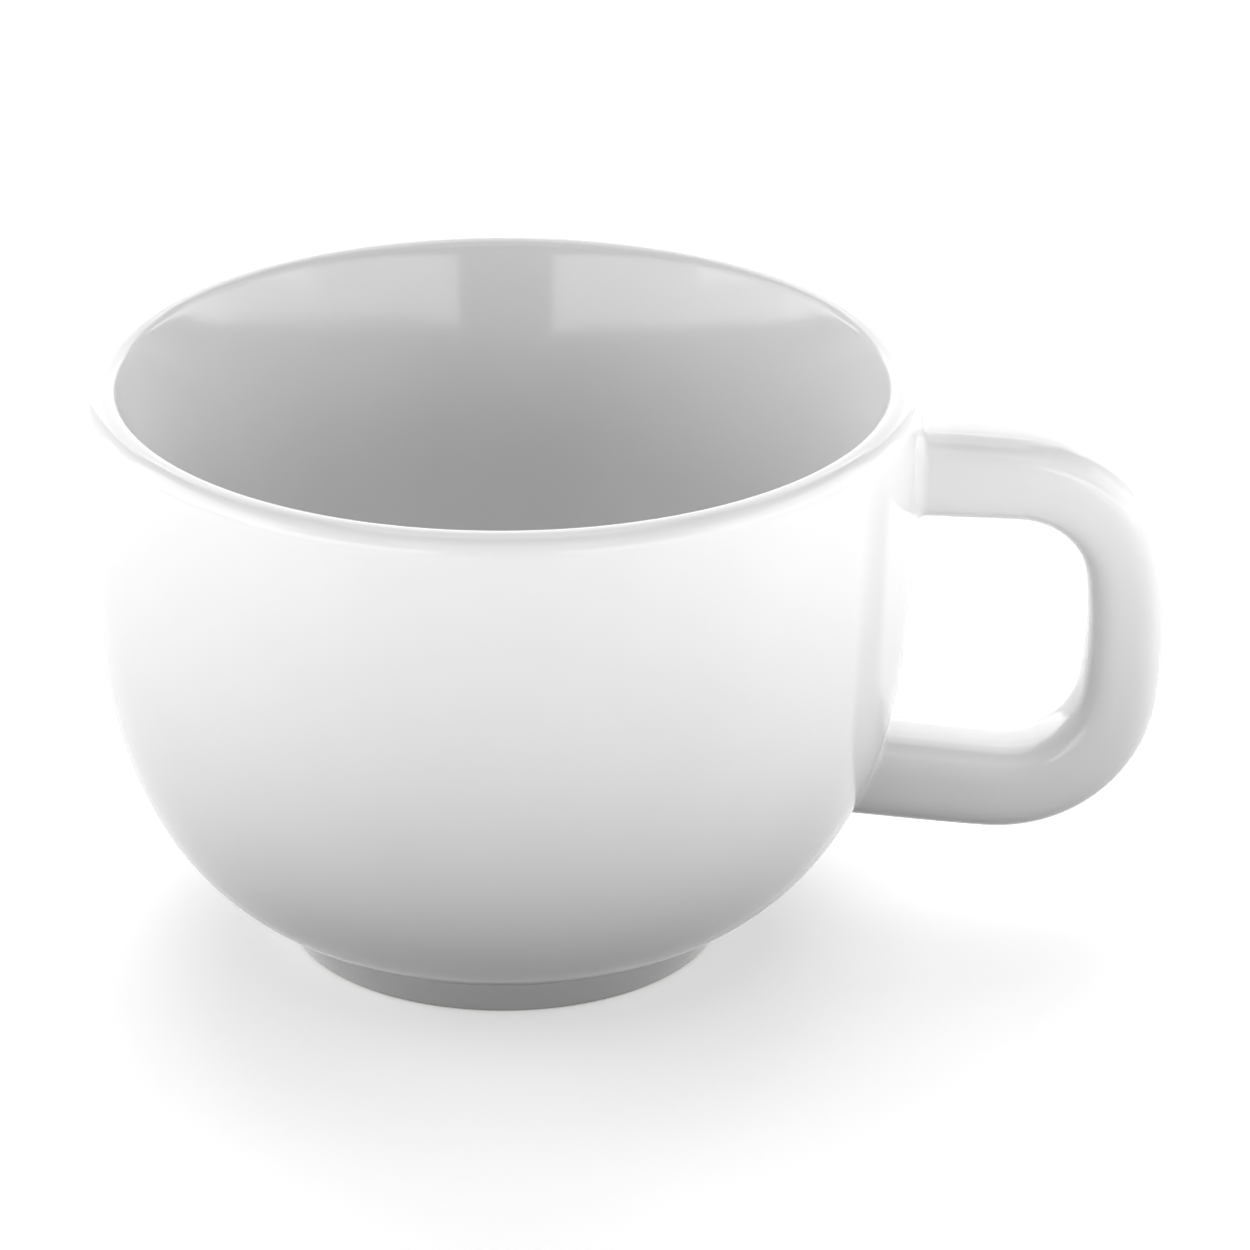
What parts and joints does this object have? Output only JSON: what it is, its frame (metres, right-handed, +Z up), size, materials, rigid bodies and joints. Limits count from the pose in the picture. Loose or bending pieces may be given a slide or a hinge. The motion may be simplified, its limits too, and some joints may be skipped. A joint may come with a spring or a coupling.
{
  "type": "cappuccino cup",
  "caption": "Thick-walled cappuccino cup with an upright lip, a round belly, a low foot ring and a squared loop handle, in plain white glazed porcelain.",
  "frame": {"origin": "on the cup's own axis, in the plane of the foot's standing face", "axes": "+Z up along the cup's axis, +X from the axis towards the handle, which is the longest extent; +Y across the handle"},
  "size_m": [0.1172, 0.09, 0.0646],
  "materials": {
    "biscuit": "matt fired porcelain, unglazed",
    "slip": "matt fired slip",
    "glaze": "clear gloss glaze over white porcelain"
  },
  "bodies": {
    "root": {"bowl": "biscuit", "foot_ring": "biscuit", "handle": "biscuit", "upper_handle_joint": "slip", "lower_handle_joint": "slip", "inside_glaze": "glaze", "outside_glaze": "glaze", "handle_glaze": "glaze", "foot_glaze": "glaze"}
  },
  "joints": []
}
